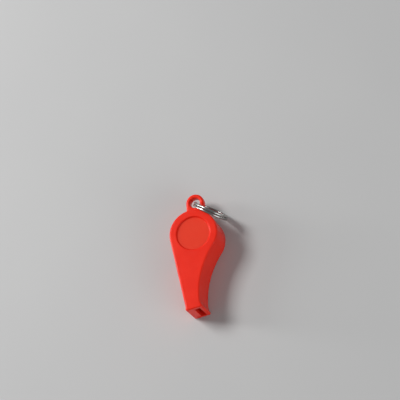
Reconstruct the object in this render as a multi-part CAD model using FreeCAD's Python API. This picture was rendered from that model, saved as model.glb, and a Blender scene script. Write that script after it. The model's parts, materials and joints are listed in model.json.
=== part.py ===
import FreeCAD, Part
import math
import os

# A small moulded pea whistle with a split ring, in millimetres.
# Frame: the whistle lies on its back cheek. +Z runs along the barrel's axis, out of the front cheek,
# +Y runs from the mouth to the lug, and +X is the hollow underside. The origin is on the barrel's
# axis, in the plane that the back cheek rests on.

# Outside
WIDTH = 15.0                # from cheek to cheek
BARREL_R = 11.0
MOUTH_Y = -33.7             # plane of the mouth end
WAIST_X = -4.5              # where the underside comes nearest to the straight top side
UNDERSIDE_R = 38.0          # radius of the hollow underside
TOP_FLARE_LENGTH = 2.7      # the lip on the straight side
TOP_FLARE_R = 6.4
UNDER_FLARE_LENGTH = 4.0    # the lip on the hollow side
UNDER_FLARE_R = 6.0
CHEEK_EDGE_R = 0.7          # rounding along both cheeks
MOUTH_CORNER_R = 0.75       # rounding of the mouth end's corners
RECESS_R = 7.7              # shallow round recess in each cheek
RECESS_DEPTH = 0.8
RECESS_EDGE_R = 0.39

# Inside
WALL = 1.8
COVER_THICK = 1.8
CHAMBER_R = 9.2
WINDWAY_MOUTH_X = (-7.7, -5.2)  # roof and floor of the air passage at the mouth
WINDWAY_EXIT_X = (-9.6, -8.3)   # and at the window, where it is thinner
WINDWAY_FLOOR = 1.3         # thickness of its floor over the cored pocket
WINDOW_START_Y = -5.6       # end of the windway
WINDOW_END_Y = -0.8         # the edge that splits the air
WINDOW_DEPTH_X = -7.0       # how far in the window cuts, to square the end of the windway's floor
LIP_EDGE_X = -9.15          # the splitting edge stands in the middle of the air stream
LIP_RAMP_SLOPE = 1.9        # ramp length along Y for each millimetre of rise
POCKET_MOUTH_Y = -22.5      # where the cored pocket under the windway's floor ends
POCKET_CORNER_R = 0.35

# Lug
LUG_ANGLE = 10.0            # degrees from +Y towards +X
LUG_REACH = 16.3            # barrel's axis to hole's axis
LUG_R = 4.1
LUG_HOLE_R = 2.3
LUG_THICK = 3.8
LUG_ROOT = 10.0             # how far in the lug starts, inside the barrel's wall
LUG_EDGE_R = 0.85
LUG_HOLE_EDGE_R = 0.75
LUG_ROOT_R = 0.5

# Cover
REGISTER_HEIGHT = 1.0       # raised ribs that locate the cover in the body
REGISTER_WIDTH = 0.85
REGISTER_GAP = 0.1
REGISTER_CUT_X = -5.5       # the rib stops short of the window
SEAM_CHAMFER = 0.12         # half of the groove along the welded seam

# Pea
PEA_R = 4.25
PEA_GAP = 0.25              # to the barrel's wall
PEA_LIFT = 0.1              # above the cover
PEA_ANGLE = 40.0            # where the pea lies, degrees from +X

# Split ring
RING_OUTER_R = 8.3
WIRE_RADIAL = 0.9
WIRE_AXIAL = 1.05
WIRE_EDGE_R = 0.3
COIL_GAP = 0.05             # between the two coils
JOG_DEGREES = 34.0          # stretch in which the wire crosses from one coil to the other
JOG_AT = 205.0              # where that stretch ends, degrees around the ring from its far side
RING_HEADING = -43.5        # the ring's plane, degrees from +X
RING_LEAN = 14.0            # how far the ring leans out of the vertical
RING_HEIGHT = 8.6           # ring's centre above the resting plane
WIRE_IN_HOLE = (0.38, -0.64)    # where the wire runs through the lug's hole, from its centre

MID_Z = WIDTH / 2
BODY_Z = COVER_THICK        # the body starts where the cover ends


def at(x, y, z=0.0):
    return FreeCAD.Vector(x, y, z)


def polar(radius, degrees, z=0.0):
    angle = math.radians(degrees)
    return at(radius * math.cos(angle), radius * math.sin(angle), z)


def box(low, high):
    size = high - low
    return Part.makeBox(size.x, size.y, size.z, low)


def cylinder(radius, low_z, high_z, centre=None):
    middle = centre or at(0, 0)
    return Part.makeCylinder(radius, high_z - low_z, at(middle.x, middle.y, low_z))


def prism(points, low_z, high_z):
    corners = [at(x, y, low_z) for x, y in points]
    face = Part.Face(Part.makePolygon(corners + corners[:1]))
    return face.extrude(at(0, 0, high_z - low_z))


def middle_of(edge):
    return edge.valueAt((edge.FirstParameter + edge.LastParameter) / 2)


def edges_in_plane(shape, z):
    """Edges of a shape that lie wholly in the plane at height z."""
    close = 1e-4
    found = []
    for edge in shape.Edges:
        bounds = edge.BoundBox
        if abs(bounds.ZMin - z) < close and abs(bounds.ZMax - z) < close:
            found.append(edge)
    return found


def rings_in_plane(shape, z, radius, centre):
    """Round edges of one radius about one centre, at height z."""
    found = []
    for edge in edges_in_plane(shape, z):
        curve = edge.Curve
        if isinstance(curve, Part.Circle) and abs(curve.Radius - radius) < 1e-3:
            if (curve.Center - at(centre.x, centre.y, z)).Length < 1e-3:
                found.append(edge)
    return found


def outline_edges(solid, z):
    """The outline of a flat end: the outer edges of the largest face in that plane."""
    close = 1e-4
    ends = []
    for face in solid.Faces:
        bounds = face.BoundBox
        if abs(bounds.ZMin - z) < close and abs(bounds.ZMax - z) < close:
            ends.append(face)
    return max(ends, key=lambda face: face.Area).OuterWire.Edges


def underside_centre():
    """Centre of the hollow underside: its arc touches the barrel and the waist."""
    x = WAIST_X + UNDERSIDE_R
    return at(x, -math.sqrt((UNDERSIDE_R + BARREL_R) ** 2 - x**2))


def outline_wire(z):
    """The side view of the whistle without its lug, as a wire at height z."""
    lift = at(0, 0, z)
    hollow = underside_centre()
    touch = hollow * (BARREL_R / hollow.Length)

    top_start = at(-BARREL_R, 0)
    flare_y = MOUTH_Y + TOP_FLARE_LENGTH
    top_flare = at(-BARREL_R, flare_y)
    half = TOP_FLARE_LENGTH / 2
    top_flare_mid = at(-BARREL_R - TOP_FLARE_R + math.sqrt(TOP_FLARE_R**2 - half**2), flare_y - half)
    drop = math.sqrt(TOP_FLARE_R**2 - TOP_FLARE_LENGTH**2)
    top_end = at(-BARREL_R - TOP_FLARE_R + drop, MOUTH_Y)

    flare_dy = MOUTH_Y + UNDER_FLARE_LENGTH - hollow.y
    flare = at(hollow.x - math.sqrt(UNDERSIDE_R**2 - flare_dy**2), hollow.y + flare_dy)
    inward = (hollow - flare) * (1 / UNDERSIDE_R)
    flare_centre = flare + inward * UNDER_FLARE_R
    end_dy = MOUTH_Y - flare_centre.y
    under_end = at(flare_centre.x - math.sqrt(UNDER_FLARE_R**2 - end_dy**2), MOUTH_Y)
    flare_chord = (flare + under_end) * 0.5 - flare_centre
    flare_mid = flare_centre + flare_chord * (UNDER_FLARE_R / flare_chord.Length)

    under_chord = (flare + touch) * 0.5 - hollow
    under_mid = hollow + under_chord * (UNDERSIDE_R / under_chord.Length)
    touch_angle = math.degrees(math.atan2(touch.y, touch.x))
    barrel_mid = polar(BARREL_R, (touch_angle + 180.0) / 2)

    edges = [
        Part.LineSegment(top_start + lift, top_flare + lift),
        Part.Arc(top_flare + lift, top_flare_mid + lift, top_end + lift),
        Part.LineSegment(top_end + lift, under_end + lift),
        Part.Arc(under_end + lift, flare_mid + lift, flare + lift),
        Part.Arc(flare + lift, under_mid + lift, touch + lift),
        Part.Arc(touch + lift, barrel_mid + lift, top_start + lift),
    ]
    return Part.Wire([edge.toShape() for edge in edges])


def slab(low_z, high_z, cheek_z):
    """The outline extruded, with rounded corners at the mouth end and one rounded cheek."""
    solid = Part.Face(outline_wire(low_z)).extrude(at(0, 0, high_z - low_z))
    corners = []
    for edge in solid.Edges:
        bounds = edge.BoundBox
        upright = bounds.ZLength > 0.9 * (high_z - low_z)
        if upright and bounds.YMax < MOUTH_Y + 1e-3:
            corners.append(edge)
    solid = solid.makeFillet(MOUTH_CORNER_R, corners)
    return solid.makeFillet(CHEEK_EDGE_R, edges_in_plane(solid, cheek_z))


def floor_at(y):
    """The windway floor's X at a place along the whistle."""
    share = (y - MOUTH_Y) / (WINDOW_START_Y - MOUTH_Y)
    return WINDWAY_MOUTH_X[1] + share * (WINDWAY_EXIT_X[1] - WINDWAY_MOUTH_X[1])


def pocket(gap, low_z, high_z):
    """The cored space between the windway's floor, the barrel's wall and the underside."""
    hollow = underside_centre()
    near_x = floor_at(POCKET_MOUTH_Y) + WINDWAY_FLOOR + gap
    far_x = floor_at(0.0) + WINDWAY_FLOOR + gap
    mouth_y = POCKET_MOUTH_Y + gap
    outline = [(near_x, mouth_y), (BARREL_R, mouth_y), (BARREL_R, 0.0), (far_x, 0.0)]
    space = prism(outline, low_z, high_z)
    space = space.cut(cylinder(UNDERSIDE_R + WALL + gap, low_z, high_z, hollow))
    space = space.cut(cylinder(CHAMBER_R + WALL + gap, low_z, high_z))
    solids = sorted(space.Solids, key=lambda solid: solid.CenterOfMass.x)
    upright = [e for e in solids[0].Edges if e.BoundBox.ZLength > 0.9 * (high_z - low_z)]
    return solids[0].makeFillet(POCKET_CORNER_R, upright)


def windway(low_z, high_z):
    """The flat air passage: it rises and thins from the mouth to the window."""
    mouth_roof, mouth_floor = WINDWAY_MOUTH_X
    exit_roof, exit_floor = WINDWAY_EXIT_X
    before = MOUTH_Y - 1.0
    beyond = WINDOW_START_Y + 1.0
    outline = [
        (mouth_roof, before),
        (mouth_floor, before),
        (mouth_floor, MOUTH_Y),
        (exit_floor, WINDOW_START_Y),
        (exit_floor, beyond),
        (exit_roof, beyond),
        (exit_roof, WINDOW_START_Y),
        (mouth_roof, MOUTH_Y),
    ]
    return prism(outline, low_z, high_z)


def window(low_z, high_z):
    """The cut in the straight side, with the ramp that ends in the splitting edge."""
    outside = -BARREL_R - 1.0
    rise = LIP_EDGE_X - outside
    return prism(
        [
            (outside, WINDOW_START_Y),
            (WINDOW_DEPTH_X, WINDOW_START_Y),
            (WINDOW_DEPTH_X, WINDOW_END_Y),
            (LIP_EDGE_X, WINDOW_END_Y),
            (outside, WINDOW_END_Y + rise * LIP_RAMP_SLOPE),
        ],
        low_z,
        high_z,
    )


def lug_direction():
    return polar(1.0, 90.0 - LUG_ANGLE)


def lug_hole_centre():
    return lug_direction() * LUG_REACH


def lug_blank():
    """The lug before its hole: a rounded tongue that starts inside the barrel's wall."""
    low_z = MID_Z - LUG_THICK / 2
    high_z = MID_Z + LUG_THICK / 2
    along = lug_direction()
    across = at(along.y, -along.x)
    lift = at(0, 0, low_z)
    root = along * LUG_ROOT
    centre = lug_hole_centre()
    side = across * LUG_R
    edges = [
        Part.LineSegment(root - side + lift, root + side + lift),
        Part.LineSegment(root + side + lift, centre + side + lift),
        Part.Arc(centre + side + lift, centre + along * LUG_R + lift, centre - side + lift),
        Part.LineSegment(centre - side + lift, root - side + lift),
    ]
    wire = Part.Wire([edge.toShape() for edge in edges])
    tongue = Part.Face(wire).extrude(at(0, 0, LUG_THICK))
    rims = []
    for edge in edges_in_plane(tongue, low_z) + edges_in_plane(tongue, high_z):
        if (middle_of(edge) - root).dot(along) > 0.1:
            rims.append(edge)
    return tongue.makeFillet(LUG_EDGE_R, rims)


def on_barrel_skin(edge):
    """Does the whole edge lie on the barrel's round outside?"""
    span = edge.LastParameter - edge.FirstParameter
    for part in range(5):
        point = edge.valueAt(edge.FirstParameter + span * part / 4)
        if abs(math.hypot(point.x, point.y) - BARREL_R) > 2e-3:
            return False
    return True


def join_lug(barrel):
    """Fuse the lug to the barrel, blend its root and pierce it."""
    solid = barrel.fuse(lug_blank()).removeSplitter()
    root_edges = []
    for edge in solid.Edges:
        bounds = edge.BoundBox
        beside_lug = bounds.ZMin > MID_Z - LUG_THICK and bounds.ZMax < MID_Z + LUG_THICK
        if beside_lug and on_barrel_skin(edge) and middle_of(edge).y > 0:
            root_edges.append(edge)
    solid = solid.makeFillet(LUG_ROOT_R, root_edges)
    centre = lug_hole_centre()
    solid = solid.cut(cylinder(LUG_HOLE_R, 0, WIDTH, centre))
    rims = []
    for z in (MID_Z - LUG_THICK / 2, MID_Z + LUG_THICK / 2):
        rims += rings_in_plane(solid, z, LUG_HOLE_R, centre)
    return solid.makeFillet(LUG_HOLE_EDGE_R, rims)


def recess(solid, surface_z, inward):
    """A shallow round recess, with a soft rim and a soft corner at its floor."""
    floor_z = surface_z + inward * RECESS_DEPTH
    solid = solid.cut(cylinder(RECESS_R, min(surface_z, floor_z), max(surface_z, floor_z)))
    origin = at(0, 0)
    edges = rings_in_plane(solid, surface_z, RECESS_R, origin)
    edges += rings_in_plane(solid, floor_z, RECESS_R, origin)
    return solid.makeFillet(RECESS_EDGE_R, edges)


def body_shell():
    """Front cheek, walls, windway and lug in one moulding, open towards the cover."""
    inner_z = WIDTH - WALL
    solid = join_lug(slab(BODY_Z, WIDTH, WIDTH))
    solid = recess(solid, WIDTH, -1)
    for hollow in (
        cylinder(CHAMBER_R, BODY_Z, inner_z),
        windway(BODY_Z, inner_z),
        window(BODY_Z, inner_z),
        pocket(0.0, BODY_Z, inner_z),
    ):
        solid = solid.cut(hollow)
    return solid.makeChamfer(SEAM_CHAMFER, outline_edges(solid, BODY_Z))


def back_cover():
    """The plate that closes the back cheek, with ribs that locate it in the body."""
    solid = slab(0.0, COVER_THICK, 0.0)
    solid = solid.makeChamfer(SEAM_CHAMFER, edges_in_plane(solid, COVER_THICK))
    solid = recess(solid, 0.0, 1)
    top = COVER_THICK + REGISTER_HEIGHT
    register_r = CHAMBER_R - REGISTER_GAP
    rib = cylinder(register_r, COVER_THICK, top)
    rib = rib.cut(cylinder(register_r - REGISTER_WIDTH, COVER_THICK, top))
    rib = rib.cut(box(at(-BARREL_R, -BARREL_R, COVER_THICK), at(REGISTER_CUT_X, BARREL_R, top)))
    pad = pocket(REGISTER_GAP, COVER_THICK, top)
    return solid.fuse([rib, pad]).removeSplitter()


def pea():
    orbit = CHAMBER_R - PEA_GAP - PEA_R
    height = COVER_THICK + PEA_LIFT + PEA_R
    return Part.makeSphere(PEA_R, polar(orbit, PEA_ANGLE, height))


def coil_point(degrees, radius, step):
    """A point of the ring's wire. It crosses from the first coil to the second in the jog."""
    jog_start = 360.0 - JOG_DEGREES
    share = min(max((degrees - jog_start) / JOG_DEGREES, 0.0), 1.0)
    eased = share * share * (3.0 - 2.0 * share)
    return polar(radius, degrees + JOG_AT, step * (eased - 0.5))


def split_ring():
    """Two coils of flattened wire, side by side, made flat and then stood in the lug."""
    radius = RING_OUTER_R - WIRE_RADIAL / 2
    step = WIRE_AXIAL + COIL_GAP
    jog_start = 360.0 - JOG_DEGREES
    first = Part.Arc(*[coil_point(jog_start * part / 2, radius, step) for part in range(3)])
    second = Part.Arc(*[coil_point(360.0 + jog_start * part / 2, radius, step) for part in range(3)])
    crossing = [coil_point(jog_start + JOG_DEGREES * part / 8, radius, step) for part in range(9)]
    jog = Part.BSplineCurve()
    jog.interpolate(
        Points=crossing,
        InitialTangent=polar(1.0, jog_start + JOG_AT + 90.0),
        FinalTangent=polar(1.0, JOG_AT + 90.0),
    )
    path = Part.Wire([first.toShape(), jog.toShape(), second.toShape()])

    start = coil_point(0.0, radius, step)
    half_radial = WIRE_RADIAL / 2
    half_axial = WIRE_AXIAL / 2
    block = box(at(-half_radial, -1.0, -half_axial), at(half_radial, 0.0, half_axial))
    block = block.makeFillet(WIRE_EDGE_R, [e for e in block.Edges if e.BoundBox.YLength > 0.9])
    front = [face for face in block.Faces if face.BoundBox.YMin > -1e-6][0]
    outline = front.OuterWire
    outline.rotate(at(0, 0), at(0, 0, 1), JOG_AT)
    outline.translate(start)

    sweep = Part.BRepOffsetAPI.MakePipeShell(path)
    sweep.setBiNormalMode(at(0, 0, 1))
    sweep.add(outline)
    sweep.build()
    sweep.makeSolid()
    ring = sweep.shape()

    # Stand the ring up: its far side points along +X, then it leans and turns to its heading.
    ring.rotate(at(0, 0), at(1, 0, 0), 90.0 + RING_LEAN)
    ring.rotate(at(0, 0), at(0, 0, 1), RING_HEADING)
    hole = lug_hole_centre()
    near = at(hole.x + WIRE_IN_HOLE[0], hole.y + WIRE_IN_HOLE[1], RING_HEIGHT)
    ring.translate(near + polar(radius, RING_HEADING))
    return ring


def main():
    os.makedirs("parts", exist_ok=True)
    for name, make in (
        ("body_shell", body_shell),
        ("back_cover", back_cover),
        ("pea", pea),
        ("split_ring", split_ring),
    ):
        shape = make()
        solid = shape.Solids[0]
        print(name, len(shape.Solids), solid.isValid(), round(solid.Volume, 2), solid.BoundBox)
        solid.exportStep(f"parts/{name}.step")


main()
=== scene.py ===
import json
import math

import bmesh
import bpy
from mathutils import Matrix, Vector, noise


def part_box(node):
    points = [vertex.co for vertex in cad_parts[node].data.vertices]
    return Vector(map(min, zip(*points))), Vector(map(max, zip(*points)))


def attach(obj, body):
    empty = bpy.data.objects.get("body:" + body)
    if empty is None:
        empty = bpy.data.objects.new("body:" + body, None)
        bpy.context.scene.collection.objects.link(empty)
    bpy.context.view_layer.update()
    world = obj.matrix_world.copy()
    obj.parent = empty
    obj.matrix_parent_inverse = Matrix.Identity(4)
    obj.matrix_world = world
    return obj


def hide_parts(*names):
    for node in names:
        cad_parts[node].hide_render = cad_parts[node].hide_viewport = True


# The looks of a moulded pea whistle: a red gloss body, a cork pea and a nickel-plated split ring.
# Everything is in metres, in the same frame as the CAD: +Z out of the front cheek, +Y towards the lug.

MM = 0.001

# Moulded body. Both cheeks have a round recess, and its flat floor is duller than the rest.
RED_DARK = (0.80, 0.026, 0.012, 1.0)
RED_LIGHT = (0.86, 0.032, 0.015, 1.0)
RED_FLOOR = (0.76, 0.042, 0.012, 1.0)
FLOOR_TINT = 0.8            # how much of the floor's own colour shows
FLOOR_DULLNESS = 0.20       # roughness added on the floors
FLOOR_R = 7.25 * MM         # flat part of the floor
FRONT_FLOOR_Z = (14.0 * MM, 14.4 * MM)      # heights that hold the front floor
BACK_FLOOR_Z = 0.9 * MM     # height just inside the back floor
FADE = 0.1 * MM             # width of the change from floor to wall
GLOW_RADIUS = (0.0020, 0.0006, 0.0004)      # how far light travels in the plastic, by colour
BODY_IOR = 1.2              # low, which keeps the pale surroundings' glare off the steep faces

# Split ring: its place comes from the frame, and its wire's section is given here
STEEL_DARK = (0.35, 0.345, 0.335, 1.0)
STEEL_LIGHT = (0.39, 0.385, 0.375, 1.0)
WIRE_RADIAL = 0.90 * MM
WIRE_AXIAL = 1.05 * MM
WIRE_EDGE_R = 0.44 * MM
COIL_GAP = 0.05 * MM
JOG_DEGREES = 34.0          # stretch in which the wire crosses from one coil to the other
JOG_AT = 205.0              # where that stretch ends, degrees around the ring from its far side
STEP_DEGREES = 1.5          # length of one facet along the wire
CORNER_FACETS = 5
GROUND_LENGTH = 0.12 * MM   # length of the rounding that grinding leaves on the wire's ends
GROUND_END = 0.80           # size of the section at the very end, and a third of the way in
GROUND_MIDDLE = 0.93

# Pea
BARK_DARK = (0.36, 0.19, 0.085, 1.0)
BARK_LIGHT = (0.62, 0.40, 0.21, 1.0)
BARK_PORE = (0.20, 0.10, 0.045, 1.0)
PEA_SHRINK = 0.06 * MM      # the cork's skin stays this far inside the CAD ball
PIT_DEPTH = 0.16 * MM
PIT_LEVEL = 0.30            # the skin is pitted where the pattern rises above this
PIT_STEEPNESS = 2.2
PITS_ACROSS = 5.0           # the bark's pores are longer across than along
PITS_ALONG = 14.0
PITS_FROM = Vector((3.1, 0.4, 7.7))
GRAIN_SCALE = 22.0
GRAIN_DEPTH = 0.03 * MM

# Studio
PALE_DARK = (0.50, 0.50, 0.50, 1.0)
PALE_LIGHT = (0.53, 0.53, 0.525, 1.0)
SKY = (0.97, 0.98, 1.0, 1.0)
SKY_STRENGTH = 0.22
FLOOR_SIZE = 4.0
LIT_POINT = Vector((0.0, -0.007, 0.008))
LIGHTS = (                  # name, place from the lit point, size, watts
    ("key_light", Vector((-0.50, 0.42, 0.78)), (0.35, 0.35), 7.5),
    ("rim_light", Vector((-0.80, 0.35, 0.22)), (0.15, 0.5), 3.8),
    ("fill_light", Vector((0.55, -0.65, 0.25)), (0.6, 0.6), 3.0),
)

# Camera
AZIMUTH = math.radians(24.2)
ELEVATION = math.radians(64.5)
ROLL = math.radians(-40.3)
DISTANCE = 0.6
LENS = 119.6
SENSOR_WIDTH = 36.0
CLIP_START = 0.01
AIM = Vector((0.0050, 0.0176, 0.0067))

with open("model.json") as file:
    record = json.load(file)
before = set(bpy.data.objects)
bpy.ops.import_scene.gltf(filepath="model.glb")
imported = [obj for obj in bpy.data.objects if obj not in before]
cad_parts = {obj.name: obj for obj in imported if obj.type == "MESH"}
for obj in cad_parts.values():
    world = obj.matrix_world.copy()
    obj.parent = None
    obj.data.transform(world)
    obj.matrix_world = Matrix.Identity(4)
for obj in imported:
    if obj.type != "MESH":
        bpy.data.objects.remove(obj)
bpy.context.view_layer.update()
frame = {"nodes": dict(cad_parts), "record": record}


# Materials

class Nodes:
    """A short way to make and link the nodes of one material."""

    def __init__(self, name):
        self.material = bpy.data.materials.new(name)
        self.material.use_nodes = True
        self.tree = self.material.node_tree
        self.tree.nodes.clear()
        self.shader = self.add("ShaderNodeBsdfPrincipled")
        output = self.add("ShaderNodeOutputMaterial")
        self.link(self.shader.outputs[0], output.inputs["Surface"])
        self.place = self.add("ShaderNodeTexCoord").outputs["Object"]

    def add(self, kind, **values):
        node = self.tree.nodes.new(kind)
        for name, value in values.items():
            setattr(node, name, value)
        return node

    def link(self, source, target):
        self.tree.links.new(source, target)

    def fill(self, socket, value):
        if isinstance(value, bpy.types.NodeSocket):
            self.link(value, socket)
        else:
            socket.default_value = value

    def maths(self, operation, a, b=0.0):
        node = self.add("ShaderNodeMath", operation=operation)
        self.fill(node.inputs[0], a)
        self.fill(node.inputs[1], b)
        return node.outputs[0]

    def noise(self, scale, detail):
        node = self.add("ShaderNodeTexNoise")
        self.link(self.place, node.inputs["Vector"])
        node.inputs["Scale"].default_value = scale
        node.inputs["Detail"].default_value = detail
        return node.outputs["Fac"]

    def ramp(self, value, low, high, out_low=0.0, out_high=1.0):
        node = self.add("ShaderNodeMapRange", clamp=True)
        self.fill(node.inputs["Value"], value)
        node.inputs["From Min"].default_value = low
        node.inputs["From Max"].default_value = high
        node.inputs["To Min"].default_value = out_low
        node.inputs["To Max"].default_value = out_high
        return node.outputs["Result"]

    def above(self, value, limit):
        return self.ramp(value, limit, limit + FADE)

    def below(self, value, limit):
        return self.ramp(value, limit, limit + FADE, 1.0, 0.0)

    def mix(self, share, a, b):
        node = self.add("ShaderNodeMix", data_type="RGBA")
        self.fill(node.inputs["Factor"], share)
        self.fill(node.inputs[6], a)
        self.fill(node.inputs[7], b)
        return node.outputs[2]

    def bump(self, height, strength, distance, normal=None):
        node = self.add("ShaderNodeBump")
        node.inputs["Strength"].default_value = strength
        node.inputs["Distance"].default_value = distance
        self.link(height, node.inputs["Height"])
        if normal is not None:
            self.link(normal, node.inputs["Normal"])
        return node.outputs["Normal"]

    def set(self, **values):
        for name, value in values.items():
            self.fill(self.shader.inputs[name.replace("_", " ")], value)


def recess_floors(m):
    """One on the flat floors of both recesses, and zero elsewhere."""
    axes = m.add("ShaderNodeSeparateXYZ")
    m.link(m.place, axes.inputs[0])
    x, y, z = axes.outputs
    radius = m.maths("SQRT", m.maths("ADD", m.maths("MULTIPLY", x, x), m.maths("MULTIPLY", y, y)))
    low, high = FRONT_FLOOR_Z
    front = m.maths("MULTIPLY", m.above(z, low), m.below(z, high))
    back = m.below(z, BACK_FLOOR_Z)
    return m.maths("MULTIPLY", m.below(radius, FLOOR_R), m.maths("MAXIMUM", front, back))


def red_plastic():
    m = Nodes("red_plastic")
    floors = recess_floors(m)
    cloudy = m.noise(90.0, 3.0)
    fine = m.noise(5200.0, 2.0)
    wavy = m.noise(420.0, 1.0)
    base = m.mix(m.ramp(cloudy, 0.35, 0.65), RED_DARK, RED_LIGHT)
    m.set(Base_Color=m.mix(m.maths("MULTIPLY", floors, FLOOR_TINT), base, RED_FLOOR))
    gloss = m.ramp(wavy, 0.3, 0.7, 0.20, 0.25)
    m.set(Roughness=m.maths("ADD", gloss, m.maths("MULTIPLY", floors, FLOOR_DULLNESS)))
    grain = m.bump(m.maths("MULTIPLY", fine, floors), 0.25, 0.02 * MM)
    m.set(Normal=m.bump(wavy, 0.05, 0.03 * MM, grain))
    m.set(Subsurface_Weight=0.2, Subsurface_Radius=GLOW_RADIUS, Subsurface_Scale=1.0)
    m.set(IOR=BODY_IOR)
    return m.material


def cork():
    m = Nodes("cork")
    cells = m.add("ShaderNodeTexVoronoi")
    m.link(m.place, cells.inputs["Vector"])
    cells.inputs["Scale"].default_value = 900.0
    distance = cells.outputs["Distance"]
    specks = m.noise(700.0, 3.0)
    tone = m.mix(m.ramp(specks, 0.40, 0.62), BARK_DARK, BARK_LIGHT)
    m.set(Base_Color=m.mix(m.ramp(distance, 0.0, 0.25, 0.6, 0.0), tone, BARK_PORE))
    m.set(Roughness=m.ramp(specks, 0.3, 0.7, 0.75, 0.9))
    m.set(Normal=m.bump(distance, 0.5, 0.2 * MM))
    return m.material


def plated_steel():
    m = Nodes("plated_steel")
    drawn = m.noise(2600.0, 2.0)
    m.set(Base_Color=m.mix(m.ramp(drawn, 0.3, 0.7), STEEL_DARK, STEEL_LIGHT), Metallic=1.0)
    m.set(Roughness=m.ramp(drawn, 0.3, 0.7, 0.24, 0.28))
    return m.material


def pale_paint():
    m = Nodes("pale_floor")
    m.set(Base_Color=m.mix(m.noise(14.0, 2.0), PALE_DARK, PALE_LIGHT))
    m.set(Roughness=0.8, Specular_IOR_Level=0.1)
    return m.material


def paint(node, material):
    slots = frame["nodes"][node].data.materials
    slots.clear()
    slots.append(material)


# Pieces made here

def new_piece(name, mesh, material, body, stands_for):
    data = bpy.data.meshes.new(name)
    mesh.to_mesh(data)
    mesh.free()
    piece = bpy.data.objects.new(name, data)
    bpy.context.scene.collection.objects.link(piece)
    data.materials.append(material)
    for polygon in data.polygons:
        polygon.use_smooth = True
    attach(piece, body)
    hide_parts(stands_for)


def wire_section():
    """The flattened wire's outline, as (radial, axial) offsets that run once around it."""
    points = []
    for quarter in range(4):
        turn = math.radians(90.0 * quarter)
        radial_sign = 1 if quarter in (0, 3) else -1
        axial_sign = 1 if quarter in (0, 1) else -1
        corner_radial = radial_sign * (WIRE_RADIAL / 2 - WIRE_EDGE_R)
        corner_axial = axial_sign * (WIRE_AXIAL / 2 - WIRE_EDGE_R)
        for facet in range(CORNER_FACETS + 1):
            angle = turn + math.radians(90.0) * facet / CORNER_FACETS
            points.append((
                corner_radial + WIRE_EDGE_R * math.cos(angle),
                corner_axial + WIRE_EDGE_R * math.sin(angle),
            ))
    return points


def wire_stations(radius):
    """Degrees along the wire and the section's size there, smaller at the ground ends."""
    total = 720.0 - JOG_DEGREES
    count = round(total / STEP_DEGREES)
    ground = math.degrees(GROUND_LENGTH / radius)
    stations = [(0.0, GROUND_END), (ground / 3, GROUND_MIDDLE), (ground, 1.0)]
    stations += [(total * index / count, 1.0) for index in range(1, count)]
    stations += [(total - ground, 1.0), (total - ground / 3, GROUND_MIDDLE), (total, GROUND_END)]
    return stations


def coil_height(degrees):
    """Height of the wire's centre: two flat coils with an eased crossing between them."""
    share = min(max((degrees - 360.0 + JOG_DEGREES) / JOG_DEGREES, 0.0), 1.0)
    eased = share * share * (3.0 - 2.0 * share)
    return (WIRE_AXIAL + COIL_GAP) * (eased - 0.5)


def split_ring(material):
    """Two turns of flattened wire, swept around the ring's eye."""
    mount = next(m for m in frame["record"]["mounts"] if m["name"] == "ring_eye")
    centre = Vector(mount["pos_m"])
    axis = -Vector(mount["axis"]).normalized()
    across = Vector((0.0, 0.0, 1.0)).cross(axis).normalized()
    over = axis.cross(across)
    radius = mount["dims"]["r_mm"] * MM + WIRE_RADIAL / 2
    section = wire_section()

    mesh = bmesh.new()
    loops = []
    for degrees, size in wire_stations(radius):
        angle = math.radians(degrees + JOG_AT)
        height = coil_height(degrees)
        loop = []
        for radial, axial in section:
            out = radius + radial * size
            place = across * (out * math.cos(angle)) + over * (out * math.sin(angle))
            loop.append(mesh.verts.new(centre + place + axis * (height + axial * size)))
        loops.append(loop)
    for before, after in zip(loops, loops[1:]):
        for index in range(len(section)):
            following = (index + 1) % len(section)
            mesh.faces.new((before[index], before[following], after[following], after[index]))
    mesh.faces.new(loops[0])
    mesh.faces.new(reversed(loops[-1]))
    bmesh.ops.recalc_face_normals(mesh, faces=mesh.faces)
    new_piece("split_ring_wire", mesh, material, "key_ring", "split_ring")


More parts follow.
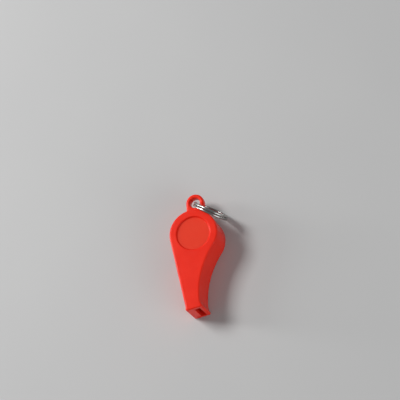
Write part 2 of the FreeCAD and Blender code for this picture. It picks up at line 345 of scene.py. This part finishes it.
def cork_pea(material):
    """A turned cork ball: round on the whole, with pits where the bark's pores were cut."""
    low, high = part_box("pea")
    centre = (low + high) / 2
    radius = (high.x - low.x) / 2 - PEA_SHRINK
    mesh = bmesh.new()
    bmesh.ops.create_icosphere(mesh, subdivisions=6, radius=radius)
    for vert in mesh.verts:
        direction = vert.co.normalized()
        x, y, z = direction
        stretched = Vector((x * PITS_ACROSS, y * PITS_ACROSS, z * PITS_ALONG))
        pit = max(0.0, noise.noise(stretched + PITS_FROM) - PIT_LEVEL) * PIT_STEEPNESS
        grain = noise.noise(direction * GRAIN_SCALE) + 1.0
        vert.co -= direction * (PIT_DEPTH * min(pit, 1.0) + GRAIN_DEPTH * grain)
    bmesh.ops.translate(mesh, verts=mesh.verts, vec=centre)
    new_piece("cork_pea", mesh, material, "pea_ball", "pea")


# Floor, lights and camera

def pale_floor():
    bpy.ops.mesh.primitive_plane_add(size=FLOOR_SIZE, location=(0.0, 0.0, 0.0))
    floor = bpy.context.object
    floor.name = "floor"
    floor.data.materials.append(pale_paint())


def soft_light(name, place, size, power):
    light = bpy.data.lights.new(name, "AREA")
    light.shape = "RECTANGLE"
    light.size, light.size_y = size
    light.energy = power
    lamp = bpy.data.objects.new(name, light)
    bpy.context.scene.collection.objects.link(lamp)
    lamp.location = LIT_POINT + place
    lamp.rotation_euler = place.to_track_quat("Z", "Y").to_euler()


def studio():
    """A soft key from the upper left, a low light behind it for the rims, a weak fill and an even sky."""
    for light in LIGHTS:
        soft_light(*light)
    world = bpy.data.worlds.new("studio_world")
    world.use_nodes = True
    sky = world.node_tree.nodes["Background"]
    sky.inputs["Color"].default_value = SKY
    sky.inputs["Strength"].default_value = SKY_STRENGTH
    bpy.context.scene.world = world
    bpy.context.scene.view_settings.view_transform = "Standard"


def view_axes():
    """The camera's right, up and back directions."""
    back = Vector((
        math.sin(AZIMUTH) * math.cos(ELEVATION),
        -math.cos(AZIMUTH) * math.cos(ELEVATION),
        math.sin(ELEVATION),
    ))
    level = Vector((math.cos(AZIMUTH), math.sin(AZIMUTH), 0.0))
    over = back.cross(level)
    right = level * math.cos(ROLL) + over * math.sin(ROLL)
    return right, back.cross(right), back


def camera():
    right, up, back = view_axes()
    data = bpy.data.cameras.new("camera")
    data.lens = LENS
    data.sensor_width = SENSOR_WIDTH
    data.clip_start = CLIP_START
    eye = bpy.data.objects.new("camera", data)
    bpy.context.scene.collection.objects.link(eye)
    turn = Matrix((right, up, back)).transposed().to_4x4()
    eye.matrix_world = Matrix.Translation(AIM + back * DISTANCE) @ turn
    bpy.context.scene.camera = eye


def main():
    plastic = red_plastic()
    paint("body_shell", plastic)
    paint("back_cover", plastic)
    cork_pea(cork())
    split_ring(plated_steel())
    pale_floor()
    studio()
    camera()


main()
